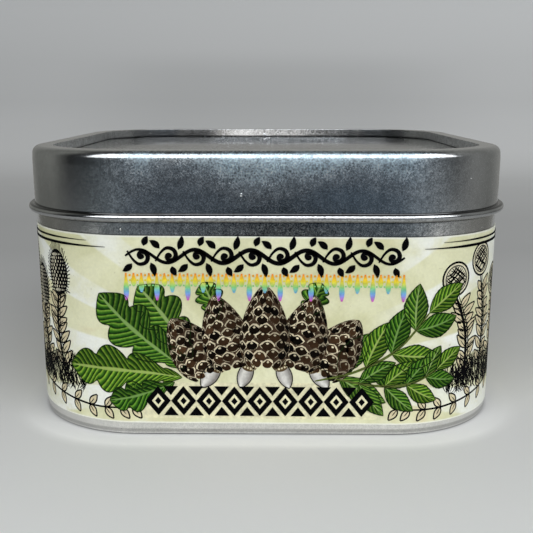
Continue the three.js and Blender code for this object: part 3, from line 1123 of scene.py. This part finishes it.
# Light comes from all round, as in a room: a wide soft light high in front, darkness low in front
# and overhead. Angles in degrees, 0 in front and growing towards +X; tones are what bare metal shows.
ROOM_TURNS = (-180, -130, -98, -74, -51, -23, -9, -2.5, 1, 6, 25, 65, 91, 118, 180)
ROOM_ROWS = (   # elevation, then one tone for each turn
    (-9.7, (0.3, 0.12, 0.15, 0.15, 0.11, 0.1, 0.15, 0, 0, 0.04, 0.13, 0.28, 0.23, 0.17, 0.3)),
    (-8.1, (0.3, 0.12, 0.115, 0.1, 0.12, 0.15, 0.085, 0.08, 0.075, 0.07, 0.2, 0.22, 0.18, 0.14, 0.3)),
    (-5.75, (0.3, 0.145, 0.14, 0.05, 0.055, 0.13, 0.07, 0.1, 0.11, 0.1, 0.21, 0.12, 0.19, 0.16, 0.3)),
    (-4.35, (0.3, 0.155, 0.175, 0.022, 0.035, 0.11, 0.06, 0.07, 0.07, 0.07, 0.18, 0.09, 0.2, 0.17, 0.3)))
ROOM_TINTS = (  # one for each turn
    (1, 1, 0.95), (0.98, 1, 0.92), (0.98, 1, 0.92), (0.95, 1, 1), (0.86, 1, 1.06), (0.84, 1, 1.12),
    (0.82, 1, 1.2), (0.78, 1, 1.22), (0.76, 1, 1.24), (0.72, 1, 1.3), (0.84, 1, 1.14), (0.94, 1, 1.02),
    (0.98, 1, 0.97), (0.98, 1, 0.95), (1, 1, 0.95))
THINGS = (      # small pale and brown things far in front, at the height of the lid: turn, tone
    (-7, (0.1, 0.08, 0.05)), (-4.6, (0.11, 0.08, 0.05)), (-3.8, (0.15, 0.12, 0.09)),
    (-3.2, (1.2, 1.2, 1.17)), (-1.6, (1.8, 1.77, 1.72)), (-0.55, (2.6, 2.56, 2.5)),
    (0, (0.14, 0.14, 0.13)), (1.3, (0.1, 0.1, 0.09)), (2.6, (0.28, 0.28, 0.27)),
    (4.4, (0.15, 0.15, 0.15)), (5.4, (0.1, 0.09, 0.07)), (7, (0.1, 0.085, 0.055)))
THING_HEIGHTS, THING_SOFT = (2.6, 7.6), 0.7
LIGHT_TONE = (2.38, 2.44, 2.5, 1)
LIGHT_TURNS, LIGHT_HEIGHTS, LIGHT_SOFT = (-52, 68), (15.5, 61), 5
ZENITH_TONE, ZENITH_START = (0.05, 0.05, 0.05, 1), (50, 62)
PALE_TONE = (0.4, 0.41, 0.41, 1)       # what the camera sees past the backdrop


def make_world():
    world = bpy.data.worlds.new("studio")
    SCENE.world = world
    n = Nodes(owner=world, coords="Generated")
    x, y, z = n.split()
    turn = n.math("DEGREES", n.math("ARCTAN2", x, n.times(y, -1)))
    height = n.math("DEGREES", n.math("ARCSINE", z))
    place = n.map(turn, -180, 180, 0, 1)
    room, below = None, None
    for row, (level, tones) in enumerate(ROOM_ROWS):
        stops = zip(ROOM_TURNS, map(grey_of, tones, ROOM_TINTS))
        ramp = n.ramp(place, [((a + 180) / 360, colour) for a, colour in stops])
        room = n.mix(n.map(height, below, level, 0, 1), room, ramp) if row else ramp
        below = level

    def window(turns, heights, soft):
        """1 inside a block of directions, 0 outside it."""
        edges = []
        for value, (low, high) in ((turn, turns), (height, heights)):
            edges.append(n.ease(value, low - soft, low + soft, 0, 1))
            edges.append(n.ease(value, high - soft, high + soft, 1, 0))
        return n.times(*edges)

    low, high = THINGS[0][0], THINGS[-1][0]
    stops = [((a - low) / (high - low), grey_of(1, tone)) for a, tone in THINGS]
    things = n.ramp(n.map(turn, low, high, 0, 1), stops)
    room = n.mix(window((low, high), THING_HEIGHTS, THING_SOFT), room, things)
    room = n.mix(n.ease(height, *ZENITH_START, 0, 1), room, ZENITH_TONE)
    room = n.mix(window(LIGHT_TURNS, LIGHT_HEIGHTS, LIGHT_SOFT), room, LIGHT_TONE)
    seen = n.mix(n.add("LightPath").outputs["Is Camera Ray"], room, PALE_TONE)
    n.fill(n.tree.nodes["Background"], {"Color": seen})


make_world()

# ---- Camera ----
FRAME_PX = 533
FOCAL_PX = 803.6
PITCH = 0.21106
SWING = 0.009            # the tin stands turned by half a degree from the camera's line
AIM = 0.00075            # and a hair right of the picture's middle
CAMERA_BACK, CAMERA_HEIGHT = 201.8 * MM, 67.45 * MM

camera_data = bpy.data.cameras.new("camera")
camera_data.sensor_width = 36
camera_data.lens = FOCAL_PX * camera_data.sensor_width / FRAME_PX
camera_data.clip_start = 0.01
camera = bpy.data.objects.new("camera", camera_data)
camera.location = (CAMERA_BACK * sin(SWING), -CAMERA_BACK * cos(SWING), CAMERA_HEIGHT)
camera.rotation_euler = (pi / 2 - PITCH, 0, SWING + AIM)
SCENE.collection.objects.link(camera)
SCENE.camera = camera
SCENE.view_settings.view_transform = "Standard"
